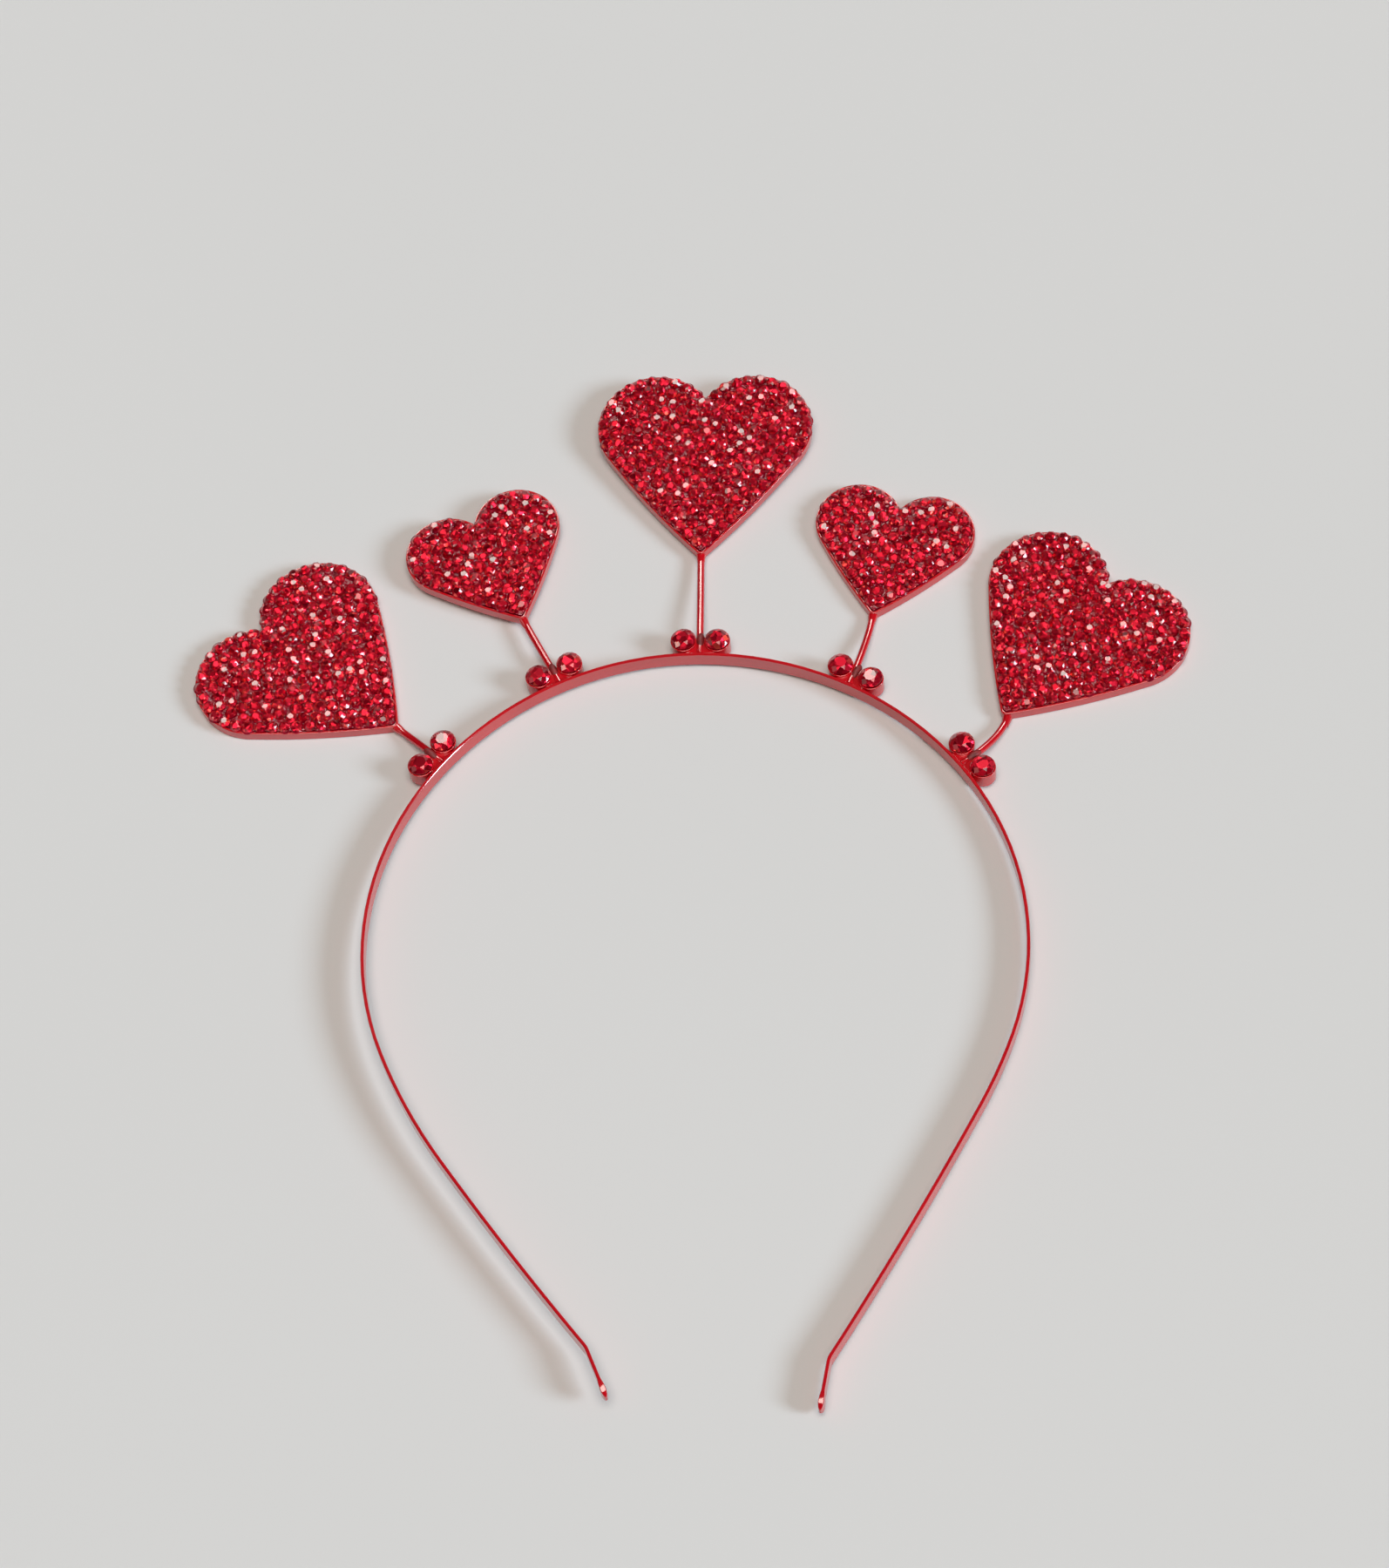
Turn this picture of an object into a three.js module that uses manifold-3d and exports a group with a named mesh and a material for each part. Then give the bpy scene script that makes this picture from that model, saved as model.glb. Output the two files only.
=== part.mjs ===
import * as THREE from 'three';
import { mergeVertices } from 'three/addons/utils/BufferGeometryUtils.js';
import { ConvexGeometry } from 'three/addons/geometries/ConvexGeometry.js';
import Module from 'manifold-3d';

const wasm = await Module();
wasm.setup();

// Heart headband, lying on its back. Lengths in mm, angles in degrees.
// +X is to the wearer's side, +Y runs from the leg tips to the hearts, +Z is up from the surface.

// Clearance between pieces that touch on the real headband.
const seatGap = 0.3;

// Band: a flat steel strip on edge, bent to a horseshoe. span is its widest width across.
const band = {
  span: 128,
  width: 3.8,
  thickness: 0.65,
  edgeBreak: 0.12,
  lift: 0.9,
  legLift: 2.3,
  kinkRadius: 3,
  tipRun: 9.9,
  tipRoll: 3.6,
  crownTurn: -2.3,
  step: 3.5,
  kinkParts: 4,
};

// Each leg follows its rows from the crown to the kink, with the radii as shares of the span.
// The kink opens the horseshoe by its angle, and a straight run to the tip follows it.
// lift and run are the leg's shares of legLift and tipRun.
const legs = {
  left: {
    hand: 1,
    lift: 1,
    kink: 16.4,
    run: 1,
    rows: [
      { radius: 0.482, sweep: 53.5 },
      { radius: 0.497, sweep: 59.7 },
      { radius: 0.88, sweep: 13.1 },
      { radius: 5.85, sweep: 3.6 },
    ],
  },
  right: {
    hand: -1,
    lift: 0.05,
    kink: 21.6,
    run: 0.95,
    rows: [
      { radius: 0.513, sweep: 51.6 },
      { radius: 0.493, sweep: 55.6 },
      { radius: 0.808, sweep: 8.6 },
      { radius: 6.59, sweep: 3.9 },
    ],
  },
};

// Shares of the span along the strip between which a leg's lift grows.
const liftGrows = { from: 0.235, to: 1.17 };

// Rolled leg end: how far back from the tip as a share of the roll, and the shares of the
// strip's thickness and width there.
const tipEnd = [
  { back: 1, thick: 1, wide: 1 },
  { back: 0.67, thick: 1.5, wide: 1 },
  { back: 0.33, thick: 1.7, wide: 0.9 },
  { back: 0.11, thick: 1.2, wide: 0.7 },
  { back: 0, thick: 0.5, wide: 0.4 },
];

// Heart outline: a lobe arc, a long flank arc tangent to it and a rounded tip, with their radii
// as shares of the heart's width. turnOver is the angle where the lobe gives way to the flank.
const hearts = {
  large: { width: 43.1, lobe: 0.2744, turnOver: -35.7, flank: 4.07, tip: 0.028 },
  small: { width: 32, lobe: 0.2681, turnOver: -38.4, flank: 4.196, tip: 0.035 },
};
const outlineSteps = { lobe: 15, flank: 4, tip: 2 };
const sharpestTip = 0.2;

// Tray: the cast heart that the small stones are set in.
const tray = { height: 2.4, rim: 0.55, recess: 1, edge: 0.25, rimEdge: 0.12 };

// Field of small stones: it fills the tray's recess and stands over the rim.
const pave = {
  overhang: 0.05,
  girdle: 0.55,
  shoulder: 0.85,
  shoulderInset: 0.35,
  crown: 1.25,
  crownInset: 1,
};

// Stem: a round wire from the band to the heart's tip. length is the longest stem's, and seat
// the share of the band's width at which the wire meets it.
const stem = {
  length: 23.33,
  diameter: 1.45,
  seat: 0.72,
  embed: 1.1,
  neck: 2.2,
  neckLength: 1.3,
  sides: 10,
  steps: 8,
};

// Cups: two on each stem's foot, each with one larger stone.
const cup = { diameter: 5.1, wall: 0.3, height: 3.6, spacing: 6.65, sides: 16, floorGap: 0.4 };
const cupStone = {
  diameter: 4.8,
  table: 2.7,
  star: 3.85,
  crown: 0.8,
  girdle: 0.18,
  pavilion: 1.7,
};

// Web: the solder plate between the two cups, the stem and the band.
const web = { height: 2.5, topWidth: 1.8, bottomWidth: 6.4 };

// One row for each ornament. station is its share of the span along the strip, reach the share
// of the stem's length from the band to the heart's tip, and lean where that tip lies off the
// band's normal. leave and arrive are the wire's turns off the normal at its two ends, turn is
// the heart's own turn off it, and rise tips the heart up off the surface. lift is how far its tip
// is off the surface, as a share of the tray's height, and aside how far off the tip's middle the
// wire is soldered, as a share of its diameter.
const ornaments = [
  {
    name: 'left_outer', leg: 'left', station: 0.442, heart: 'large', rise: 0, lift: 0, aside: 0,
    reach: 0.5676, lean: -5.97, leave: -6, arrive: -2, turn: 0.1,
  },
  {
    name: 'left_inner', leg: 'left', station: 0.22, heart: 'small', rise: -0.5, lift: 0.62, aside: 0,
    reach: 0.7053, lean: 2.41, leave: 2, arrive: 2, turn: 0.75,
  },
  {
    name: 'centre', leg: 'right', station: 0, heart: 'large', rise: 2, lift: 0.2, aside: 0,
    reach: 1, lean: 2.2, leave: 2, arrive: 2, turn: 0.4,
  },
  {
    name: 'right_inner', leg: 'right', station: 0.2375, heart: 'small', rise: 0, lift: 0, aside: 0,
    reach: 0.7325, lean: 12.86, leave: 8, arrive: 18, turn: 15,
  },
  {
    name: 'right_outer', leg: 'right', station: 0.46, heart: 'large', rise: 0, lift: 0, aside: 0.5,
    reach: 0.6032, lean: 18.06, leave: 0, arrive: 37, turn: 16.6,
  },
];

// Finishes.
const redPaint = { color: 0xa3202c, roughness: 0.38, metalness: 0 };
const rubyGlass = { color: 0xb00f24, roughness: 0.12, metalness: 0 };

const rad = THREE.MathUtils.degToRad;
const up = new THREE.Vector3(0, 0, 1);

function direction(angle) {
  return new THREE.Vector3(Math.cos(angle), Math.sin(angle), 0);
}

function smooth(t) {
  const x = THREE.MathUtils.clamp(t, 0, 1);
  return x * x * (3 - 2 * x);
}

// Bends of a leg in mm and radians, from the crown to the kink. A turn to the left is positive.
function bends(leg) {
  const arcs = leg.rows.map(({ radius, sweep }) => (
    { radius: radius * band.span, turn: leg.hand * rad(sweep) }));
  return [...arcs, { radius: band.kinkRadius, turn: -leg.hand * rad(leg.kink) }];
}

const bendLength = ({ radius, turn }) => radius * Math.abs(turn);

function legLength(leg) {
  return bends(leg).reduce((sum, bend) => sum + bendLength(bend), leg.run * band.tipRun);
}

// Place and outward normal on the strip's middle, a distance s from the crown.
function poseAt(leg, s) {
  const place = new THREE.Vector3(0, -band.thickness / 2, 0);
  let heading = rad(band.crownTurn) + (leg.hand > 0 ? Math.PI : 0);
  let left = s;
  for (const bend of bends(leg)) {
    const run = Math.min(left, bendLength(bend));
    const side = Math.sign(bend.turn);
    place.addScaledVector(direction(heading + side * Math.PI / 2), bend.radius);
    heading += side * run / bend.radius;
    place.addScaledVector(direction(heading - side * Math.PI / 2), bend.radius);
    left -= run;
  }
  place.addScaledVector(direction(heading), left);
  const grown = smooth((s / band.span - liftGrows.from) / (liftGrows.to - liftGrows.from));
  place.z = band.lift + band.legLift * leg.lift * grown;
  return { place, normal: direction(heading - leg.hand * Math.PI / 2) };
}

// Mesh from closed rings of equally many points, with a flat cap on each end.
function skin(rings, capFaces) {
  const count = rings[0].length;
  const index = [];
  for (const [a, b, c] of capFaces) index.push(a, c, b);
  for (let r = 0; r + 1 < rings.length; r += 1) {
    for (let k = 0; k < count; k += 1) {
      const here = r * count + k;
      const next = r * count + (k + 1) % count;
      index.push(here, next, next + count, here, next + count, here + count);
    }
  }
  const last = (rings.length - 1) * count;
  for (const [a, b, c] of capFaces) index.push(last + a, last + b, last + c);
  const geometry = new THREE.BufferGeometry().setFromPoints(rings.flat());
  geometry.setIndex(index);
  return geometry;
}

// The strip's section at one place on it, a rectangle with broken edges.
function stripRing(pose, thick, wide) {
  const halfThick = band.thickness * thick / 2;
  const halfWide = band.width * wide / 2;
  const cut = Math.min(band.edgeBreak, halfThick / 2);
  const corners = [
    [halfThick, cut - halfWide], [halfThick, halfWide - cut],
    [halfThick - cut, halfWide], [cut - halfThick, halfWide],
    [-halfThick, halfWide - cut], [-halfThick, cut - halfWide],
    [cut - halfThick, -halfWide], [halfThick - cut, -halfWide],
  ];
  return corners.map(([out, high]) => pose.place.clone()
    .addScaledVector(pose.normal, out)
    .addScaledVector(up, band.width / 2 + high));
}

function legRings(leg) {
  const length = legLength(leg);
  const stops = [];
  let s = 0;
  for (const bend of bends(leg)) {
    const run = bendLength(bend);
    const parts = Math.ceil(run / Math.min(band.step, bend.radius / band.kinkParts));
    for (let k = 1; k <= parts; k += 1) stops.push({ s: s + run * k / parts, thick: 1, wide: 1 });
    s += run;
  }
  for (const { back, thick, wide } of tipEnd) {
    stops.push({ s: length - back * band.tipRoll, thick, wide });
  }
  return stops.map((stop) => stripRing(poseAt(leg, stop.s), stop.thick, stop.wide));
}

function makeBand() {
  const crown = stripRing(poseAt(legs.right, 0), 1, 1);
  const rings = [...legRings(legs.left).reverse(), crown, ...legRings(legs.right)];
  const fan = [];
  for (let k = 1; k < crown.length - 1; k += 1) fan.push([0, k, k + 1]);
  return skin(rings, fan);
}

// Points of the heart's outline, drawn in by inset, with its unrounded tip at the origin.
function heartOutline(heart, inset) {
  const turnOver = rad(heart.turnOver);
  const side = heart.width * (0.5 - heart.lobe);
  const lobe = heart.width * heart.lobe - inset;
  const flank = heart.width * heart.flank - inset;
  const tip = Math.max(heart.width * heart.tip - inset, sharpestTip);
  const centre = direction(turnOver).multiplyScalar(lobe - flank);
  centre.x += side;
  const sharpTip = centre.y - Math.sqrt((flank + inset) ** 2 - centre.x ** 2);
  const tipY = centre.y - Math.sqrt((flank - tip) ** 2 - centre.x ** 2);
  const notch = Math.PI - Math.acos(Math.min(side / lobe, 1));
  const flankEnd = Math.atan2(tipY - centre.y, -centre.x);
  const half = [];
  const arc = (x, y, radius, from, to, steps) => {
    for (let k = 0; k < steps; k += 1) {
      const angle = from + (to - from) * k / steps;
      half.push(new THREE.Vector2(x + radius * Math.cos(angle), y + radius * Math.sin(angle) - sharpTip));
    }
  };
  arc(side, 0, lobe, notch, turnOver, outlineSteps.lobe);
  arc(centre.x, centre.y, flank, turnOver, flankEnd, outlineSteps.flank);
  arc(0, tipY, tip, flankEnd, -Math.PI / 2, outlineSteps.tip);
  const low = new THREE.Vector2(0, tipY - tip - sharpTip);
  const mirrored = half.slice(1).reverse().map((p) => new THREE.Vector2(-p.x, p.y));
  return [...mirrored, half[0], ...half.slice(1), low].reverse();
}

// Solid of stacked heart outlines: each layer has an inset and a height.
function heartStack(heart, layers) {
  const flat = heartOutline(heart, layers[0].inset);
  const faces = THREE.ShapeUtils.triangulateShape(flat, []);
  const rings = layers.map(({ inset, z }) => heartOutline(heart, inset)
    .map((p) => new THREE.Vector3(p.x, p.y, z)));
  return skin(rings, faces);
}

function makeTray(heart) {
  return heartStack(heart, [
    { inset: tray.edge, z: 0 },
    { inset: 0, z: tray.edge },
    { inset: 0, z: tray.height - tray.rimEdge },
    { inset: tray.rimEdge, z: tray.height },
    { inset: tray.rim, z: tray.height },
    { inset: tray.rim, z: tray.height - tray.recess },
  ]);
}

function makePave(heart) {
  const top = tray.height;
  return heartStack(heart, [
    { inset: tray.rim + seatGap, z: top - tray.recess + seatGap },
    { inset: tray.rim + seatGap, z: top + seatGap },
    { inset: pave.overhang, z: top + seatGap },
    { inset: pave.overhang, z: top + pave.girdle },
    { inset: pave.shoulderInset, z: top + pave.shoulder },
    { inset: pave.crownInset, z: top + pave.crown },
  ]);
}

// Brilliant cut: table, eight stars, eight kites, sixteen halves, girdle and a cone below.
function makeCupStone() {
  const radius = cupStone.diameter / 2;
  const table = cupStone.table / 2;
  const star = cupStone.star / 2;
  const eighth = Math.PI / 4;
  const starHeight = cupStone.crown * (radius - star * Math.cos(eighth / 2)) / (radius - table);
  const base = cupStone.pavilion;
  const points = [new THREE.Vector3(0, 0, 0)];
  for (let k = 0; k < 8; k += 1) {
    const main = direction(k * eighth);
    const between = direction((k + 0.5) * eighth);
    points.push(main.clone().multiplyScalar(table).setZ(base + cupStone.girdle + cupStone.crown));
    points.push(between.clone().multiplyScalar(star).setZ(base + cupStone.girdle + starHeight));
    for (const ray of [main, between]) {
      points.push(ray.clone().multiplyScalar(radius).setZ(base));
      points.push(ray.clone().multiplyScalar(radius).setZ(base + cupStone.girdle));
    }
  }
  return new ConvexGeometry(points);
}

// Closed mesh to solid, and back.
function solid(geometry, matrix) {
  const bare = geometry.clone().applyMatrix4(matrix);
  bare.deleteAttribute('normal');
  bare.deleteAttribute('uv');
  const merged = mergeVertices(bare, 1e-4);
  return new wasm.Manifold(new wasm.Mesh({
    numProp: 3,
    vertProperties: new Float32Array(merged.attributes.position.array),
    triVerts: new Uint32Array(merged.index.array),
  }));
}

function fromSolid(body) {
  const mesh = body.getMesh();
  const geometry = new THREE.BufferGeometry();
  geometry.setAttribute('position', new THREE.BufferAttribute(mesh.vertProperties, 3));
  geometry.setIndex(new THREE.BufferAttribute(mesh.triVerts, 1));
  return geometry;
}

const origin = new THREE.Vector3();
const placed = (at, turn = 0) => new THREE.Matrix4().makeRotationZ(turn).setPosition(at);

// Frame of one ornament: its foot on the band, its heart and its two cups.
function layout(row) {
  const { place, normal } = poseAt(legs[row.leg], row.station * band.span);
  const face = Math.atan2(normal.y, normal.x);
  const foot = place.clone().addScaledVector(normal, band.thickness / 2);
  const reach = row.reach * stem.length;
  const tip = foot.clone()
    .addScaledVector(direction(face + rad(row.lean)), reach)
    .setZ(row.lift * tray.height);
  const heart = placed(tip, face + rad(row.turn) - Math.PI / 2);
  heart.multiply(new THREE.Matrix4().makeRotationX(rad(row.rise)));
  const across = direction(face - Math.PI / 2);
  const out = cup.diameter / 2 + seatGap;
  const cups = [-1, 1].map((side) => foot.clone()
    .addScaledVector(normal, out)
    .addScaledVector(across, side * cup.spacing / 2));
  return { row, face, foot, normal, tip, heart, cups };
}

// Wire from the foot to just inside the heart's tip.
function stemPath({ row, face, foot, normal, tip }) {
  const middle = tray.height / 2;
  const start = foot.clone().addScaledVector(normal, seatGap + stem.diameter / 4);
  start.z += band.width * stem.seat;
  const inward = direction(face + rad(row.turn));
  const across = direction(face + rad(row.turn) - Math.PI / 2);
  const end = tip.clone()
    .addScaledVector(inward, stem.embed)
    .addScaledVector(across, row.aside * stem.diameter)
    .setZ(tip.z + middle);
  const third = row.reach * stem.length / 3;
  const leaving = start.clone().addScaledVector(direction(face + rad(row.leave)), third);
  const arriving = end.clone().addScaledVector(direction(face + rad(row.arrive)), -third);
  return new THREE.CubicBezierCurve3(start, leaving, arriving, end);
}

function makeStem(path) {
  const circle = new THREE.Shape();
  for (let k = 0; k < stem.sides; k += 1) {
    const p = direction(2 * Math.PI * k / stem.sides).multiplyScalar(stem.diameter / 2);
    if (k === 0) circle.moveTo(p.x, p.y);
    else circle.lineTo(p.x, p.y);
  }
  return new THREE.ExtrudeGeometry(circle, { steps: stem.steps, extrudePath: path, bevelEnabled: false });
}

// Solder cone where the wire meets the heart's tip.
function makeNeck(path) {
  const { neck, diameter, neckLength, sides } = stem;
  const geometry = new THREE.CylinderGeometry(neck / 2, diameter / 2, neckLength, sides);
  const along = path.getTangent(1);
  const middle = path.getPoint(1).addScaledVector(along, -stem.embed - stem.neckLength / 4);
  const turn = new THREE.Quaternion().setFromUnitVectors(new THREE.Vector3(0, 1, 0), along);
  return geometry.applyQuaternion(turn).translate(middle.x, middle.y, middle.z);
}

function disc(radius, height) {
  return new THREE.CylinderGeometry(radius, radius, height, cup.sides)
    .rotateX(Math.PI / 2)
    .translate(0, 0, height / 2);
}

// Plate in plan: wide against the band, narrow where the wire leaves it, half a wire past the
// cups' middles.
function makeWeb() {
  const shape = new THREE.Shape();
  const far = cup.diameter / 2 + seatGap + stem.diameter / 2;
  shape.moveTo(-web.bottomWidth / 2, seatGap);
  shape.lineTo(web.bottomWidth / 2, seatGap);
  shape.lineTo(web.topWidth / 2, far);
  shape.lineTo(-web.topWidth / 2, far);
  return new THREE.ExtrudeGeometry(shape, { depth: web.height, bevelEnabled: false });
}

// Tray, wire, web and cups are soldered, so they are one solid.
function makeFrame(plan) {
  const still = new THREE.Matrix4();
  const path = stemPath(plan);
  const wall = cup.diameter / 2;
  const hollow = cupStone.pavilion + cup.floorGap;
  const webAt = plan.foot.clone();
  webAt.z += (band.width - web.height) / 2;
  let body = solid(makeTray(hearts[plan.row.heart]), plan.heart)
    .add(solid(makeStem(path), still))
    .add(solid(makeNeck(path), still))
    .add(solid(makeWeb(), placed(webAt, plan.face - Math.PI / 2)));
  for (const at of plan.cups) body = body.add(solid(disc(wall, cup.height), placed(at)));
  for (const at of plan.cups) {
    const floor = at.clone();
    floor.z += cup.height - hollow;
    body = body.subtract(solid(disc(wall - cup.wall, hollow + seatGap), placed(floor)));
  }
  return fromSolid(body);
}

function addMesh(group, name, geometry, finish, matrix = null) {
  geometry.computeVertexNormals();
  const mesh = new THREE.Mesh(geometry, new THREE.MeshStandardMaterial({ ...finish, flatShading: true }));
  mesh.name = name;
  if (matrix) matrix.decompose(mesh.position, mesh.quaternion, mesh.scale);
  group.add(mesh);
}

const headband = new THREE.Group();
addMesh(headband, 'band', makeBand(), redPaint);
for (const row of ornaments) {
  const plan = layout(row);
  addMesh(headband, `ornament_${row.name}`, makeFrame(plan), redPaint);
  addMesh(headband, `pave_${row.name}`, makePave(hearts[row.heart]), rubyGlass, plan.heart);
  plan.cups.forEach((at, k) => {
    const seat = at.clone();
    seat.z += cup.height + seatGap - cupStone.pavilion;
    addMesh(headband, `cup_stone_${row.name}_${k + 1}`, makeCupStone(), rubyGlass, placed(seat, plan.face));
  });
}

// The origin is under the middle of the whole headband, on the surface that it lies on.
const box = new THREE.Box3().setFromObject(headband, true);
const middle = box.getCenter(new THREE.Vector3());
headband.position.set(-middle.x, -middle.y, -box.min.z);

export default headband;
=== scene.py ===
import math
import random

import bmesh
import bpy
import numpy as np
from mathutils import Matrix, Vector


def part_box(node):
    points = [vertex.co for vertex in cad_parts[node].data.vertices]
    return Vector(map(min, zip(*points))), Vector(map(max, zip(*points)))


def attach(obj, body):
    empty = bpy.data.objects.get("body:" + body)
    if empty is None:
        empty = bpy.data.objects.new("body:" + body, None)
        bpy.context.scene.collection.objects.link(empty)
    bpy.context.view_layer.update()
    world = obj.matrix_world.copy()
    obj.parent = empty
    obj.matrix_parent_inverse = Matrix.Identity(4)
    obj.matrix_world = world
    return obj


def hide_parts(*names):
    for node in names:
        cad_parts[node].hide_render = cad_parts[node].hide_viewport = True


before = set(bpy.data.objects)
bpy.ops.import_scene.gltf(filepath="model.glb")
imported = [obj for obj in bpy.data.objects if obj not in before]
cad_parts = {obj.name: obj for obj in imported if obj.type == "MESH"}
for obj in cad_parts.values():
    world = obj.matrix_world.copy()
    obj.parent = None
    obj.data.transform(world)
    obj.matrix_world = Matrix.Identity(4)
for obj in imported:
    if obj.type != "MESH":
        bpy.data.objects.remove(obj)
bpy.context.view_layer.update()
mm = 0.001  # every piece is modelled in millimetres and scaled to the frame's metres
zAxis = Vector((0, 0, 1))


def fromMm(*numbers):
    return Vector(numbers) * mm


def towards(azimuth, elevation):
    # unit vector from the headband to something, 0 is straight in front and 90 to the right
    a, e = math.radians(azimuth), math.radians(elevation)
    return Vector((math.sin(a) * math.cos(e), -math.cos(a) * math.cos(e), math.sin(e)))


# Camera: nearly overhead, a little to the right, a long lens.
photoView = {
    "azimuth": 8,
    "elevation": 61,
    "distance": 1050,  # mm
    "target": (0.68, 20.54, 0),  # mm, what the middle of the picture looks at
    "sensor": 36,
    "lens": 123.9,
    "near": 50,  # mm
    "far": 20000,  # mm
}


def makeCamera():
    data = bpy.data.cameras.new("camera")
    data.sensor_width = photoView["sensor"]
    data.lens = photoView["lens"]
    data.clip_start = photoView["near"] * mm
    data.clip_end = photoView["far"] * mm
    camera = bpy.data.objects.new("camera", data)
    bpy.context.collection.objects.link(camera)
    back = towards(photoView["azimuth"], photoView["elevation"])
    right = Vector((0, 1, 0)).cross(back).normalized()
    turn = Matrix((right, back.cross(right), back)).transposed()
    camera.matrix_world = turn.to_4x4()
    camera.location = fromMm(*photoView["target"]) + back * photoView["distance"] * mm
    bpy.context.scene.camera = camera


# Light: a low soft key from the right, a soft lamp nearly overhead and a pale room. The lamps and
# cards behind and the window and card on the left only show as reflections.
lightPlan = {
    "key": {"azimuth": 73, "elevation": 30, "width": 18, "strength": 1.88, "colour": "#e0f2ff"},
    "ceiling": {"azimuth": 10, "elevation": 78, "width": 36, "strength": 1.78, "colour": "#fff5ec"},
    "window": {"azimuth": 294, "elevation": 35, "width": 11, "strength": 0.2, "colour": "#fff4e4",
               "inReflections": True},
    "rightLamp": {"azimuth": 165, "elevation": 48, "width": 16, "strength": 0.62,
                  "colour": "#fff8f0", "inReflections": True},
    "leftLamp": {"azimuth": 202, "elevation": 47, "width": 13, "strength": 0.48,
                 "colour": "#fff8f0", "inReflections": True},
    "backCard": {"azimuth": 165, "elevation": 38, "width": 36, "strength": 0.3,
                 "colour": "#fffaf8", "inReflections": True},
    "leftCard": {"azimuth": 282, "elevation": 34, "width": 26, "strength": 0.16,
                 "colour": "#fff6f0", "inReflections": True},
    "room": {"strength": 0.1, "colour": "#fdf4ea"},
}


def linear(hexColour):
    # sRGB hex to the linear colour that the shaders take
    values = [int(hexColour[k:k + 2], 16) / 255 for k in (1, 3, 5)]
    return [v / 12.92 if v <= 0.04045 else ((v + 0.055) / 1.055) ** 2.4 for v in values]


def makeLamp(name, plan):
    lamp = bpy.data.lights.new(name, "SUN")
    lamp.angle = math.radians(plan["width"])
    lamp.energy = plan["strength"]
    lamp.color = linear(plan["colour"])
    holder = bpy.data.objects.new(name, lamp)
    bpy.context.collection.objects.link(holder)
    aim = towards(plan["azimuth"], plan["elevation"])
    holder.rotation_euler = aim.to_track_quat("Z", "Y").to_euler()
    holder.visible_diffuse = "inReflections" not in plan


def makeRoom(plan):
    # even light from all round, which the glossy pieces don't mirror
    room = bpy.data.worlds.new("room")
    room.use_nodes = True
    background = room.node_tree.nodes["Background"]
    background.inputs["Color"].default_value = (*linear(plan["colour"]), 1)
    background.inputs["Strength"].default_value = plan["strength"]
    room.cycles_visibility.glossy = False
    bpy.context.scene.world = room


def makeLights():
    for name, plan in lightPlan.items():
        if name == "room":
            makeRoom(plan)
        else:
            makeLamp(name, plan)
    bpy.context.scene.view_settings.view_transform = "Standard"


makeCamera()
makeLights()
print("camera and lights made")


# Materials.

def addNode(tree, kind, settings=None, links=None):
    # settings: the node's own values and its sockets' values. links: socket name to source socket.
    node = tree.nodes.new(kind)
    for key, value in (settings or {}).items():
        if key in node.inputs:
            node.inputs[key].default_value = value
        else:
            setattr(node, key, value)
    for key, source in (links or {}).items():
        tree.links.new(source, node.inputs[key])
    return node


def newMaterial(name, **values):
    material = bpy.data.materials.new(name)
    material.use_nodes = True
    tree = material.node_tree
    shader = tree.nodes["Principled BSDF"]
    for key, value in values.items():
        shader.inputs[key.replace("_", " ")].default_value = value
    return material, tree, shader


def rampOf(tree, factor, stops):
    ramp = addNode(tree, "ShaderNodeValToRGB", links={"Fac": factor})
    elements = ramp.color_ramp.elements
    while len(elements) < len(stops):
        elements.new(0.5)
    for element, (place, colour) in zip(elements, stops):
        element.position = place
        element.color = (*linear(colour), 1)
    return ramp.outputs["Color"]


def perMm(size):
    # noise scale for patches of that many millimetres, on coordinates in metres
    return 1 / (size * mm)


def makeEnamel():
    # red stoving enamel sprayed on steel: glossy, faintly pebbled, darker where it pooled
    material, tree, shader = newMaterial("redStovingEnamel", Roughness=0.12, IOR=2.0)
    place = addNode(tree, "ShaderNodeTexCoord").outputs["Object"]
    pools = addNode(tree, "ShaderNodeTexNoise", {"Scale": perMm(9), "Detail": 3},
                    {"Vector": place})
    tint = rampOf(tree, pools.outputs["Fac"], [(0.3, "#c60c1c"), (0.7, "#d2121f")])
    tree.links.new(tint, shader.inputs["Base Color"])
    pebble = addNode(tree, "ShaderNodeTexNoise", {"Scale": perMm(0.7), "Detail": 2},
                     {"Vector": place})
    bump = addNode(tree, "ShaderNodeBump", {"Strength": 0.12, "Distance": 0.04 * mm},
                   {"Height": pebble.outputs["Fac"]})
    tree.links.new(bump.outputs["Normal"], shader.inputs["Normal"])
    return material


def makeScorched():
    # solder under scorched enamel: browner, rougher, with small pits
    material, tree, shader = newMaterial("scorchedSolder", Roughness=0.5, IOR=1.5)
    place = addNode(tree, "ShaderNodeTexCoord").outputs["Object"]
    pits = addNode(tree, "ShaderNodeTexNoise", {"Scale": perMm(0.9), "Detail": 4},
                   {"Vector": place})
    tint = rampOf(tree, pits.outputs["Fac"], [(0.35, "#681416"), (0.65, "#982024")])
    tree.links.new(tint, shader.inputs["Base Color"])
    bump = addNode(tree, "ShaderNodeBump", {"Strength": 0.4, "Distance": 0.1 * mm},
                   {"Height": pits.outputs["Fac"]})
    tree.links.new(bump.outputs["Normal"], shader.inputs["Normal"])
    return material


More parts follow.
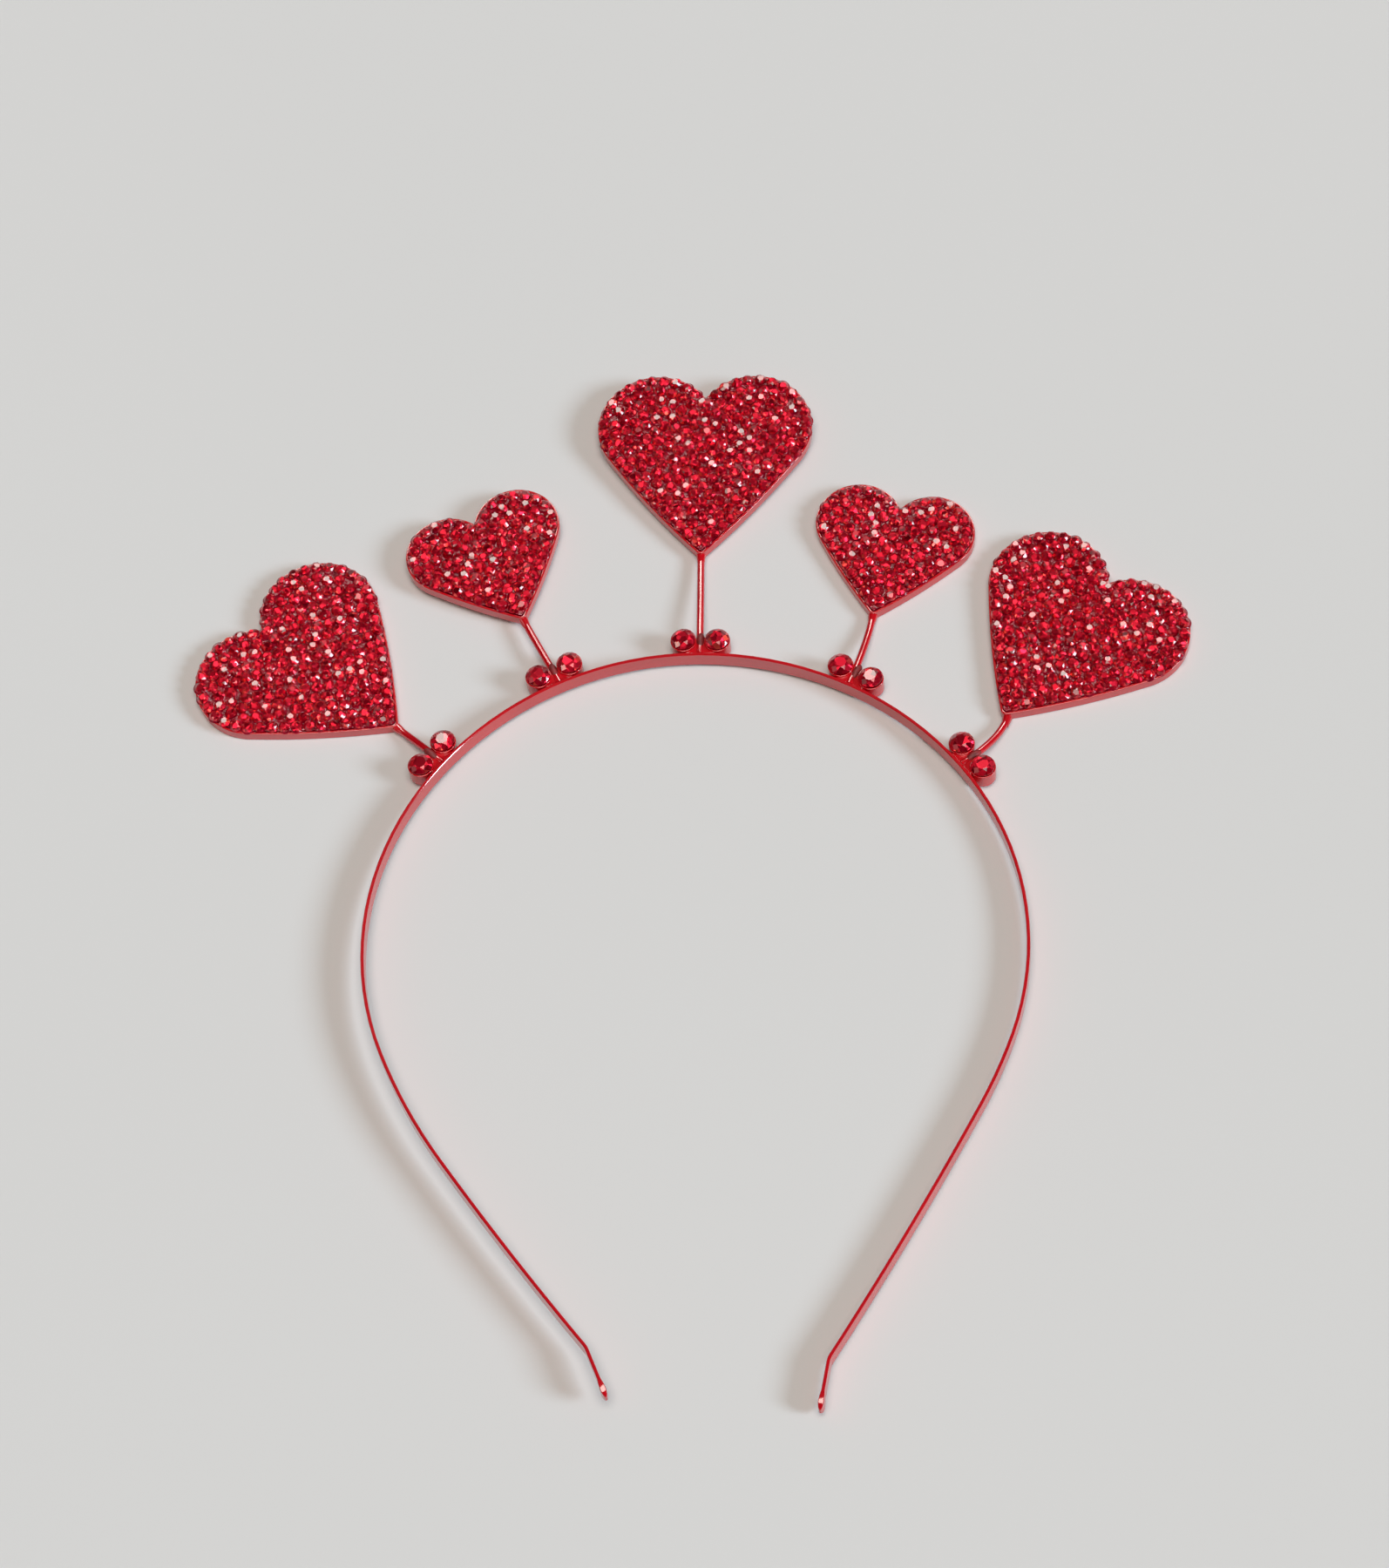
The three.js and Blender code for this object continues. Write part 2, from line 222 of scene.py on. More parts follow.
def makeRuby(name, flake):
    # ruby glass cut and polished over mirror foil: the foil's flakes, of that many millimetres,
    # flash red through the crown, each its own way, and the crown over them throws back white
    material, tree, shader = newMaterial(name, Metallic=0.75, Roughness=0.32, Coat_Weight=1,
                                         Coat_Roughness=0.02, Coat_IOR=1.52)
    place = addNode(tree, "ShaderNodeTexCoord").outputs["Object"]
    flakes = addNode(tree, "ShaderNodeTexVoronoi", {"Scale": perMm(flake)}, {"Vector": place})
    tilt = addNode(tree, "ShaderNodeVectorMath", {"operation": "SUBTRACT"},
                   {0: flakes.outputs["Color"]})
    tilt.inputs[1].default_value = (0.5, 0.5, 0.5)
    spread = addNode(tree, "ShaderNodeVectorMath", {"operation": "SCALE", "Scale": 0.85},
                     {0: tilt.outputs["Vector"]})
    crown = addNode(tree, "ShaderNodeNewGeometry")
    turned = addNode(tree, "ShaderNodeVectorMath", {"operation": "ADD"},
                     {0: spread.outputs["Vector"], 1: crown.outputs["Normal"]})
    normal = addNode(tree, "ShaderNodeVectorMath", {"operation": "NORMALIZE"},
                     {0: turned.outputs["Vector"]})
    tree.links.new(normal.outputs["Vector"], shader.inputs["Normal"])
    # each facet's colour is painted, picked at random from dark crimson to bright red and orange:
    # painted glints and shade that stand in for the foil's reflections inside the stone
    tone = addNode(tree, "ShaderNodeAttribute", {"attribute_name": "paintedFacetGlint"})
    tint = rampOf(tree, tone.outputs["Fac"], [
        (0.0, "#9e001c"), (0.5, "#d4042a"), (0.88, "#f01638"), (1.0, "#ff5a48")])
    tree.links.new(tint, shader.inputs["Base Color"])
    return material


def makeGlue():
    # clear resin glue poured over a red bed: wet gloss with ripples, and the bed's red below
    material, tree, shader = newMaterial("clearGlue", Roughness=0.08, IOR=1.5)
    place = addNode(tree, "ShaderNodeTexCoord").outputs["Object"]
    depth = addNode(tree, "ShaderNodeTexNoise", {"Scale": perMm(1.5), "Detail": 2},
                    {"Vector": place})
    tint = rampOf(tree, depth.outputs["Fac"], [(0.3, "#780820"), (0.7, "#a80c28")])
    tree.links.new(tint, shader.inputs["Base Color"])
    ripple = addNode(tree, "ShaderNodeTexNoise", {"Scale": perMm(0.5), "Detail": 1},
                     {"Vector": place})
    bump = addNode(tree, "ShaderNodeBump", {"Strength": 1, "Distance": 0.2 * mm},
                   {"Height": ripple.outputs["Fac"]})
    tree.links.new(bump.outputs["Normal"], shader.inputs["Normal"])
    return material


def makeFloorFinish():
    # matt photographic paper: pale grey, next to no texture
    material, tree, shader = newMaterial("mattPaper", Roughness=0.95, Specular_IOR_Level=0.2)
    place = addNode(tree, "ShaderNodeTexCoord").outputs["Object"]
    cloud = addNode(tree, "ShaderNodeTexNoise", {"Scale": perMm(333), "Detail": 1},
                    {"Vector": place})
    tint = rampOf(tree, cloud.outputs["Fac"], [(0.3, "#dfe0e0"), (0.7, "#e1e2e2")])
    tree.links.new(tint, shader.inputs["Base Color"])
    return material


enamel, scorched, glue = makeEnamel(), makeScorched(), makeGlue()
ruby = makeRuby("foiledRubyGlassSmall", 1.2)
cupRuby = makeRuby("foiledRubyGlassLarge", 1.7)
print("materials made")


# Piece helpers.

def meshOf(bm, name):
    mesh = bpy.data.meshes.new(name)
    bm.to_mesh(mesh)
    bm.free()
    return mesh


def objectOf(bm, name, materials):
    mesh = meshOf(bm, name)
    for material in materials:
        mesh.materials.append(material)
    thing = bpy.data.objects.new(name, mesh)
    bpy.context.collection.objects.link(thing)
    return thing


def finishPiece(bm, name, materials, nodes):
    # the mesh goes to metres, and the piece rides on the headband's one body
    bmesh.ops.scale(bm, vec=Vector((mm, mm, mm)), verts=bm.verts)
    piece = objectOf(bm, name, materials)
    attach(piece, "root")
    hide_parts(*nodes)
    return piece


def smoothByAngle(bm, degrees):
    for face in bm.faces:
        face.smooth = True
    for edge in bm.edges:
        if len(edge.link_faces) == 2 and edge.calc_face_angle(0) > math.radians(degrees):
            edge.smooth = False


def keepFlats(piece):
    # rounded edges shade round and flats stay flat
    piece.modifiers.new("keepFlats", "WEIGHTED_NORMAL").keep_sharp = True


def placeFrom(bm, first, matrix):
    # moves only what was added since the mesh had that many vertices
    bm.verts.ensure_lookup_table()
    bmesh.ops.transform(bm, matrix=matrix, verts=bm.verts[first:])


def addCopy(bm, part, matrix):
    mesh = meshOf(part, "part")
    first = len(bm.verts)
    bm.from_mesh(mesh)
    bpy.data.meshes.remove(mesh)
    placeFrom(bm, first, matrix)


def useMaterial(bm, index):
    # index: the material's place in the finished piece's list
    for face in bm.faces:
        face.material_index = index


def topFace(bm):
    return max(bm.faces, key=lambda face: face.calc_center_median().z)


def extrudeBy(bm, faces, height):
    made = bmesh.ops.extrude_face_region(bm, geom=faces)["geom"]
    moved = [v for v in made if isinstance(v, bmesh.types.BMVert)]
    bmesh.ops.translate(bm, vec=(0, 0, height), verts=moved)


def sinkFace(bm, face, depth):
    extrudeBy(bm, [face], -depth)
    bmesh.ops.delete(bm, geom=[face], context="FACES")


# Rounded edges: which ones count as lying at a height and as corners, and how round they are made.
edgeRound = {"levelSlack": 1e-4, "corner": 1, "segments": 3}  # mm, radians


def cornersAt(bm, level):
    return [e for e in bm.edges
            if all(abs(v.co.z - level) < edgeRound["levelSlack"] for v in e.verts)
            and e.calc_face_angle(0) > edgeRound["corner"]]


def roundEdges(bm, edges, width):
    bmesh.ops.bevel(bm, geom=edges, offset=width, offset_type="OFFSET",
                    segments=edgeRound["segments"], profile=0.5, affect="EDGES", material=-1)


# Floor: a plain sheet of paper far wider than the picture.
floorReach = 4  # m, from the middle to each side


def makeFloor():
    bm = bmesh.new()
    bmesh.ops.create_grid(bm, x_segments=1, y_segments=1, size=floorReach)
    floor = objectOf(bm, "floor", [makeFloorFinish()])


makeFloor()
print("floor made")


# Band: the bent strip, from a merged copy of its node.
strip = {
    "weld": 0.01,  # mm
    "sharp": 30,  # degrees
}


def makeBand():
    bm = bmesh.new()
    bm.from_mesh(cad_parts["band"].data)
    bmesh.ops.scale(bm, vec=Vector((1, 1, 1)) / mm, verts=bm.verts)
    bmesh.ops.remove_doubles(bm, verts=bm.verts, dist=strip["weld"])
    smoothByAngle(bm, strip["sharp"])
    piece = finishPiece(bm, "band_enamel", [enamel], ["band"])
    keepFlats(piece)


makeBand()
print("band made")


# Hearts: the same arcs in two sizes, in mm and degrees. side is how far a lobe's centre lies off
# the middle, slant the turn of the rows of stones, and rimShows how much of the tray's rim the
# stones leave bare at the lobes and along the flanks.
hearts = {
    "large": {"lobe": 11.83, "side": 9.72, "turnOver": -35.7, "flank": 175.4, "tip": 1.21,
              "slant": 47, "rimShows": (-0.05, 0.35)},
    "small": {"lobe": 8.58, "side": 7.42, "turnOver": -38.4, "flank": 134.3, "tip": 1.12,
              "slant": 50, "rimShows": (0.3, 0.4)},
}
heartSteps = {"lobe": 56, "flank": 8, "tip": 8}
leastTip = 0.2  # mm, the tip's radius where an inset would use it up
weldMm = 0.001


def arcCentres(heart, inset=0.0):
    # centres and radii of the outline's three arcs, with the unrounded tip at the origin
    turnOver = math.radians(heart["turnOver"])
    lobeToFlank = heart["lobe"] - heart["flank"]
    flankX = heart["side"] + lobeToFlank * math.cos(turnOver)
    flankY = lobeToFlank * math.sin(turnOver)
    sharpTip = flankY - math.sqrt(heart["flank"] ** 2 - flankX ** 2)
    lobe, flank = heart["lobe"] - inset, heart["flank"] - inset
    tip = max(heart["tip"] - inset, leastTip)
    tipY = flankY - math.sqrt((flank - tip) ** 2 - flankX ** 2)
    return {
        "lobe": (Vector((heart["side"], -sharpTip, 0)), lobe),
        "flank": (Vector((flankX, flankY - sharpTip, 0)), flank),
        "tip": (Vector((0, tipY - sharpTip, 0)), tip),
        "turnOver": turnOver,
        "flankEnd": math.atan2(tipY - flankY, -flankX),
    }


def notchAngle(arcs):
    # where the lobe's arc meets the middle line
    centre, radius = arcs["lobe"]
    return math.pi - math.acos(min(centre.x / radius, 1))


def drawHeart(bm, heart, inset):
    # half of the outline is spun from one point at the notch, arc by arc, and mirrored
    arcs = arcCentres(heart, inset)
    centre, radius = arcs["lobe"]
    notch = notchAngle(arcs)
    last = bm.verts.new(centre + radius * Vector((math.cos(notch), math.sin(notch), 0)))
    sweeps = [
        ("lobe", arcs["turnOver"] - notch),
        ("flank", arcs["flankEnd"] - arcs["turnOver"]),
        ("tip", -math.pi / 2 - arcs["flankEnd"]),
    ]
    for name, sweep in sweeps:
        made = bmesh.ops.spin(bm, geom=[last], cent=arcs[name][0], axis=zAxis, dvec=(0, 0, 0),
                              angle=sweep, steps=heartSteps[name])
        last = next(v for v in made["geom_last"] if isinstance(v, bmesh.types.BMVert))
    bmesh.ops.mirror(bm, geom=bm.verts[:] + bm.edges[:], matrix=Matrix(), merge_dist=weldMm,
                     axis="X")
    bmesh.ops.remove_doubles(bm, verts=bm.verts, dist=weldMm)


def heartPlate(heart, inset, thick):
    # a plate with the heart's outline, its back at height 0
    part = bmesh.new()
    drawHeart(part, heart, inset)
    bmesh.ops.contextual_create(part, geom=part.edges[:])
    bmesh.ops.recalc_face_normals(part, faces=part.faces)
    if part.faces[:][0].normal.z > 0:
        bmesh.ops.reverse_faces(part, faces=part.faces)
    extrudeBy(part, part.faces[:], thick)
    bmesh.ops.recalc_face_normals(part, faces=part.faces)
    return part


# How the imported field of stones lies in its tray, in mm.
cadField = {"overhang": 0.05, "aboveBack": 1.7}


def heartPlace(name, heart):
    # where a heart lies, read from its field of stones: turn, and the unrounded tip on the back
    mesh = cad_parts["pave_" + name].data
    top = max(mesh.polygons, key=lambda face: face.area * face.normal.z)
    normal = top.normal.normalized()
    corners = {tuple(round(c / mm, 3) for c in v.co) for v in mesh.vertices}
    points = [Vector(corner) for corner in corners]
    middle = sum(points, Vector()) / len(points)
    flat = [p - normal * (p - middle).dot(normal) for p in points]
    tip = max(flat, key=lambda p: (p - middle).length)
    along = (middle - tip).normalized()
    back = min(p.dot(normal) for p in points) - cadField["aboveBack"]
    centre, radius = arcCentres(heart, cadField["overhang"])["tip"]
    origin = tip - along * (centre.y - radius) + normal * (back - middle.dot(normal))
    across = along.cross(normal)
    return Matrix((across, along, normal)).transposed().to_4x4(), origin


# Tray: the shallow heart that holds the stones, in mm.
tray = {"height": 2.4, "rim": 0.5, "recess": 1.1, "rimRound": 0.14, "backRound": 0.3}


def addTray(bm, heart, matrix):
    part = heartPlate(heart, 0, tray["height"])
    top = topFace(part)
    bmesh.ops.inset_region(part, faces=[top], thickness=tray["rim"], use_even_offset=True)
    sinkFace(part, top, tray["recess"])
    bmesh.ops.recalc_face_normals(part, faces=part.faces)
    roundEdges(part, cornersAt(part, tray["height"]), tray["rimRound"])
    roundEdges(part, cornersAt(part, 0), tray["backRound"])
    addCopy(bm, part, matrix)


# Cup: a round cup for one larger stone, two to a stem, in mm. gap lies between cup and band.
cup = {"diameter": 5.1, "wall": 0.3, "height": 3.6, "hollow": 1.9, "spacing": 6.65, "gap": 0.3,
       "belowStone": 2.2, "sides": 48, "rimRound": 0.1, "footRound": 0.2}


def footPlace(name):
    # the pair of cups gives the spot on the band and the band's outward direction there
    boxes = [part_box(f"cup_stone_{name}_{k}") for k in (1, 2)]
    first, second = [(low + high) / 2 / mm for low, high in boxes]
    across = (second - first).normalized()
    outward = zAxis.cross(across)
    foot = (first + second) / 2 - outward * (cup["diameter"] / 2 + cup["gap"])
    foot.z = boxes[0][0].z / mm - cup["belowStone"]
    return Matrix((across, outward, zAxis)).transposed().to_4x4(), foot


def addCup(bm, matrix):
    part = bmesh.new()
    bmesh.ops.create_cone(part, cap_ends=True, segments=cup["sides"], radius1=cup["diameter"] / 2,
                          radius2=cup["diameter"] / 2, depth=cup["height"])
    bmesh.ops.translate(part, vec=(0, 0, cup["height"] / 2), verts=part.verts)
    top = topFace(part)
    bmesh.ops.inset_region(part, faces=[top], thickness=cup["wall"])
    sinkFace(part, top, cup["hollow"])
    roundEdges(part, cornersAt(part, cup["height"]), cup["rimRound"])
    roundEdges(part, cornersAt(part, 0), cup["footRound"])
    addCopy(bm, part, matrix)


# Stem: the round wire, in mm. foot is where it starts, seen from its spot on the band.
stem = {"diameter": 1.45, "embed": 1.1, "foot": (0, 0.2, 2.74), "sides": 20, "steps": 24}


def stemCurve(row, heartMatrix, heartOrigin, footMatrix, foot):
    # the wire's middle line, a cubic curve that leaves the band and meets the tip at set turns
    face = math.atan2(footMatrix[1][1], footMatrix[0][1])
    inward = Vector((heartMatrix[0][1], heartMatrix[1][1], 0)).normalized()
    start = foot + footMatrix.to_3x3() @ Vector(stem["foot"])
    end = heartOrigin + inward * stem["embed"] + inward.cross(zAxis) * row["aside"]
    end.z += tray["height"] / 2
    third = (heartOrigin - foot).to_2d().length / 3
    leave, arrive = (face + math.radians(row[key]) for key in ("leave", "arrive"))
    handles = (
        start,
        start + third * Vector((math.cos(leave), math.sin(leave), 0)),
        end - third * Vector((math.cos(arrive), math.sin(arrive), 0)),
        end,
    )
    points = []
    for k in range(stem["steps"] + 1):
        t = k / stem["steps"]
        weights = ((1 - t) ** 3, 3 * t * (1 - t) ** 2, 3 * t * t * (1 - t), t ** 3)
        points.append(sum((w * h for w, h in zip(weights, handles)), Vector()))
    return points


def turnAlong(here, along):
    # places a shape made about the Z axis at a point, looking along a direction
    return Matrix.Translation(here) @ along.to_track_quat("Z", "Y").to_matrix().to_4x4()


def addWire(bm, points):
    # rings are set from point to point along the wire's middle line and bridged
    rings = []
    for k, here in enumerate(points):
        before, after = points[max(k - 1, 0)], points[min(k + 1, len(points) - 1)]
        made = bmesh.ops.create_circle(bm, cap_ends=False, segments=stem["sides"],
                                       radius=stem["diameter"] / 2)["verts"]
        bmesh.ops.transform(bm, matrix=turnAlong(here, (after - before).normalized()), verts=made)
        rings.append(list(dict.fromkeys(e for v in made for e in v.link_edges)))
    for one, two in zip(rings, rings[1:]):
        bmesh.ops.bridge_loops(bm, edges=one + two)
    for ring in (rings[0], rings[-1]):
        bmesh.ops.contextual_create(bm, geom=ring)


# Neck: the solder cone where the wire meets the heart's tip, in mm.
neck = {"length": 1.9, "top": 1.95, "back": 1.4}


def addNeck(bm, points):
    along = (points[-1] - points[-2]).normalized()
    part = bmesh.new()
    bmesh.ops.create_cone(part, cap_ends=True, segments=stem["sides"],
                          radius1=stem["diameter"] / 2, radius2=neck["top"] / 2,
                          depth=neck["length"])
    addCopy(bm, part, turnAlong(points[-1] - along * neck["back"], along))


# Web: the plate of solder between the band, the cups and the wire, in mm.
web = {"height": 2.5, "low": 0.65, "bandWide": 6.4, "stemWide": 1.8, "round": 0.35}


def addWeb(bm, matrix):
    part = bmesh.new()
    far = (cup["diameter"] + stem["diameter"]) / 2 + cup["gap"]
    corners = [(-web["bandWide"] / 2, 0), (web["bandWide"] / 2, 0),
               (web["stemWide"] / 2, far), (-web["stemWide"] / 2, far)]
    part.faces.new([part.verts.new((x, y, 0)) for x, y in corners])
    extrudeBy(part, part.faces[:], web["height"])
    bmesh.ops.recalc_face_normals(part, faces=part.faces)
    roundEdges(part, part.edges[:], web["round"])
    bmesh.ops.translate(part, vec=(0, 0, web["low"]), verts=part.verts)
    addCopy(bm, part, matrix)


# Bead: the lump of solder at the wire's foot with its enamel scorched, in mm.
bead = {"size": 0.95, "stretch": (0.9, 2.0, 0.95), "at": (0, 3.1, 2.75)}


def addBead(bm, matrix):
    part = bmesh.new()
    bmesh.ops.create_icosphere(part, subdivisions=3, radius=bead["size"])
    bmesh.ops.scale(part, vec=bead["stretch"], verts=part.verts)
    useMaterial(part, 1)
    addCopy(bm, part, matrix @ Matrix.Translation(bead["at"]))


# Ornaments: which heart, how the wire turns where it leaves the band and arrives at the tip in
# degrees, and how far beside the tip it arrives in mm.
ornaments = {
    "left_outer": {"heart": "large", "leave": -6, "arrive": -2, "aside": 0},
    "left_inner": {"heart": "small", "leave": 2, "arrive": 2, "aside": 0},
    "centre": {"heart": "large", "leave": 2, "arrive": 2, "aside": 0},
    "right_inner": {"heart": "small", "leave": 8, "arrive": 18, "aside": 0},
    "right_outer": {"heart": "large", "leave": 0, "arrive": 37, "aside": 0.72},
}
metalSharp = 40  # degrees


def makeMetal(name, row):
    heart = hearts[row["heart"]]
    heartTurn, heartOrigin = heartPlace(name, heart)
    footTurn, foot = footPlace(name)
    footMatrix = Matrix.Translation(foot) @ footTurn
    heartMatrix = Matrix.Translation(heartOrigin) @ heartTurn
    bm = bmesh.new()
    addTray(bm, heart, heartMatrix)
    points = stemCurve(row, heartTurn, heartOrigin, footTurn, foot)
    addWire(bm, points)
    addNeck(bm, points)
    addWeb(bm, footMatrix)
    out = cup["diameter"] / 2 + cup["gap"]
    for side in (-1, 1):
        addCup(bm, footMatrix @ Matrix.Translation((side * cup["spacing"] / 2, out, 0)))
    addBead(bm, footMatrix)
    smoothByAngle(bm, metalSharp)
    piece = finishPiece(bm, "metal_" + name, [enamel, scorched], ["ornament_" + name])
    keepFlats(piece)
    return heartMatrix


# Small stones: round brilliants set edge to edge in glue. Lengths in mm, angles in degrees.
# The facets that face straighter up than tableUp, the tables, have their painted tone darkened by
# this share: painted shade, as if they mirrored dark surroundings.
smallStone = {
    "diameter": 2.38, "table": 1.2, "star": 1.85, "crown": 0.6, "girdle": 0, "pavilion": 0.85,
    "pitch": 2.4, "lift": 0.45, "wobble": 4.8, "edgeLean": 9, "stagger": 0.05,
    "kinds": 8, "uneven": 0.12, "tableUp": 0.95, "paintedTableShade": 0.5,
}
hullFlat = 2  # degrees, facets closer than this are one


def cutStone(stone, rng, uneven=0.0):
    # table, eight stars, eight kites and sixteen halves over the pavilion's cone of sixteen facets
    bm = bmesh.new()
    radius, table, star = stone["diameter"] / 2, stone["table"] / 2, stone["star"] / 2
    eighth = math.pi / 4
    starHeight = stone["crown"] * (radius - star * math.cos(eighth / 2)) / (radius - table)
    rings = [(8, table, stone["crown"], 0), (8, star, starHeight, eighth / 2), (16, radius, 0, 0)]
    if stone["girdle"]:
        rings.append((16, radius, -stone["girdle"], 0))
    for sides, size, height, turn in rings:
        made = bmesh.ops.create_circle(bm, cap_ends=False, segments=sides, radius=size)
        matrix = Matrix.Translation((0, 0, height)) @ Matrix.Rotation(turn, 4, "Z")
        bmesh.ops.transform(bm, matrix=matrix, verts=made["verts"])
        if size < radius:
            for vert in made["verts"]:
                vert.co.x += rng.uniform(-uneven, uneven)
                vert.co.y += rng.uniform(-uneven, uneven)
    bmesh.ops.delete(bm, geom=bm.edges[:], context="EDGES_FACES")
    bm.verts.new((0, 0, -stone["girdle"] - stone["pavilion"]))
    bmesh.ops.convex_hull(bm, input=bm.verts[:])
    bmesh.ops.dissolve_limit(bm, angle_limit=math.radians(hullFlat), verts=bm.verts,
                             edges=bm.edges)
    bmesh.ops.recalc_face_normals(bm, faces=bm.faces)
    return bm


# Rows of small stones, in pitches unless it says otherwise.
stoneRows = {
    "arcPoints": 160,
    "reach": 12,  # rows to each side
    "rise": 14,  # from the tip up to the middle row
    "clear": 0.6,  # least distance from the row along the rim
    "scatter": 0.1,  # mm
    "settle": 40,  # rounds of pushing apart
    "push": 0.3,  # share of an overlap that a round takes away
    "room": 0.72,  # a gap this far from every stone takes one more
    "resettle": 25,  # rounds of pushing apart after that
    "probe": 0.4,  # mm between the places that are tried for it
    "probeReach": 24,  # mm to each side
    "probeRise": 22,  # mm from the tip up to their middle
}


def outlineAt(heart, inset):
    # the outline drawn in by inset, as points in order round the heart
    arcs = arcCentres(heart, inset)
    ends = [notchAngle(arcs), arcs["turnOver"], arcs["flankEnd"], -math.pi / 2]
    half = []
    for name, start, end in zip(("lobe", "flank", "tip"), ends, ends[1:]):
        middle, size = arcs[name]
        for angle in np.linspace(start, end, stoneRows["arcPoints"]):
            half.append((middle.x + size * math.cos(angle), middle.y + size * math.sin(angle)))
    half = np.array(half)
    return np.vstack([half, (half * (-1, 1))[::-1]])


def spacedRound(line, pitch):
    # points a pitch apart along a closed line that starts at the notch
    steps = np.hypot(*np.diff(line, axis=0).T)
    run = np.concatenate([[0], np.cumsum(steps)])
    count = int(run[-1] / pitch)
    stops = (np.arange(count) + 0.5) * run[-1] / count
    return np.column_stack([np.interp(stops, run, line[:, k]) for k in (0, 1)])


def insideLine(points, line):
    # which points lie inside a closed line: an odd number of its sides are to their right
    x, y = points[:, :1], points[:, 1:]
    (x0, y0), (x1, y1) = line.T, np.roll(line, -1, axis=0).T
    level = (y0 > y) != (y1 > y)
    with np.errstate(divide="ignore", invalid="ignore"):
        return (level & (x < x0 + (y - y0) * (x1 - x0) / (y1 - y0))).sum(1) % 2 == 1


def nearest(spots, others):
    # each spot's distance to the nearest of the others
    away = spots[:, None] - others[None]
    return np.hypot(away[..., 0], away[..., 1]).min(1)


def pushApart(inner, border, pitch, rounds):
    for _ in range(rounds):
        away = inner[:, None] - np.vstack([inner, border])[None]
        gaps = np.hypot(away[..., 0], away[..., 1])
        gaps[gaps < 1e-6] = np.inf  # no stone pushes itself
        push = np.clip(pitch - gaps, 0, None) / gaps
        inner = inner + stoneRows["push"] * (away * push[..., None]).sum(1)
    return inner


def crossRows(places):
    # every pair of the places, as two flat lists
    return [grid.ravel() for grid in np.meshgrid(*places)]


def stoneSpots(heart, rng):
    # one row follows the rim, rows along both flanks fill the rest, and gaps left over are filled
    pitch, radius = smallStone["pitch"], smallStone["diameter"] / 2
    lobeRow, flankRow = (outlineAt(heart, radius + shows) for shows in heart["rimShows"])
    shoulder = arcCentres(heart)["lobe"][0].y / 2
    high = np.clip(flankRow[:, 1:] / shoulder - 1, 0, 1)
    line = flankRow + (lobeRow - flankRow) * high
    border = spacedRound(line, pitch)
    rows = np.arange(-stoneRows["reach"], stoneRows["reach"] + 1) * pitch
    across, up = crossRows((rows, rows))
    slant = math.radians(heart["slant"])
    lattice = np.column_stack([(across + up) * math.sin(slant), (across - up) * math.cos(slant)])
    lattice += line[len(line) // 2] + (0, stoneRows["rise"] * pitch * math.cos(slant))
    inner = lattice[insideLine(lattice, line)]
    inner = inner[nearest(inner, border) > stoneRows["clear"] * pitch]
    scatter = stoneRows["scatter"]
    inner = inner + [[rng.gauss(0, scatter), rng.gauss(0, scatter)] for _ in inner]
    inner = pushApart(inner, border, pitch, stoneRows["settle"])
    probes = np.arange(-stoneRows["probeReach"], stoneRows["probeReach"], stoneRows["probe"])
    ground = np.column_stack(crossRows((probes, probes + stoneRows["probeRise"])))
    ground = ground[insideLine(ground, line)]
    while True:
        room = nearest(ground, np.vstack([inner, border]))
        if room.max() < stoneRows["room"] * pitch:
            return inner, border
        added = np.vstack([inner, ground[room.argmax()]])
        inner = pushApart(added, border, pitch, stoneRows["resettle"])


# Glue: level is mm above the rim between the stones, inset how far in from it and clear how far
# off the tray's floor. Some of the stones have a collar of glue drawn up under their edge.
glueBed = {"level": 0.2, "inset": 0.15, "clear": 0.02, "collarShare": 0.4, "collarWide": 1.5,
           "collarTall": 0.28, "collarTuck": 0.02}


def makeCollar():
    collar = bmesh.new()
    bmesh.ops.create_cone(collar, cap_ends=False, segments=20, radius1=glueBed["collarWide"],
                          radius2=smallStone["diameter"] / 2 - glueBed["collarTuck"],
                          depth=glueBed["collarTall"])
    bmesh.ops.translate(collar, vec=(0, 0, -glueBed["collarTall"] / 2), verts=collar.verts)
    useMaterial(collar, 1)
    for face in collar.faces:
        face.smooth = True
    return meshOf(collar, "collar")


def addGlueBed(bm, heart, matrix):
    floor = tray["height"] - tray["recess"] + glueBed["clear"]
    thick = tray["height"] + glueBed["level"] - floor
    part = heartPlate(heart, tray["rim"] + glueBed["inset"], thick)
    bmesh.ops.translate(part, vec=(0, 0, floor), verts=part.verts)
    useMaterial(part, 1)
    addCopy(bm, part, matrix)


def anyLean(rng, wobble):
    lean = Matrix.Rotation(rng.gauss(0, math.radians(wobble)), 4, "X")
    return lean @ Matrix.Rotation(rng.gauss(0, math.radians(wobble)), 4, "Y")


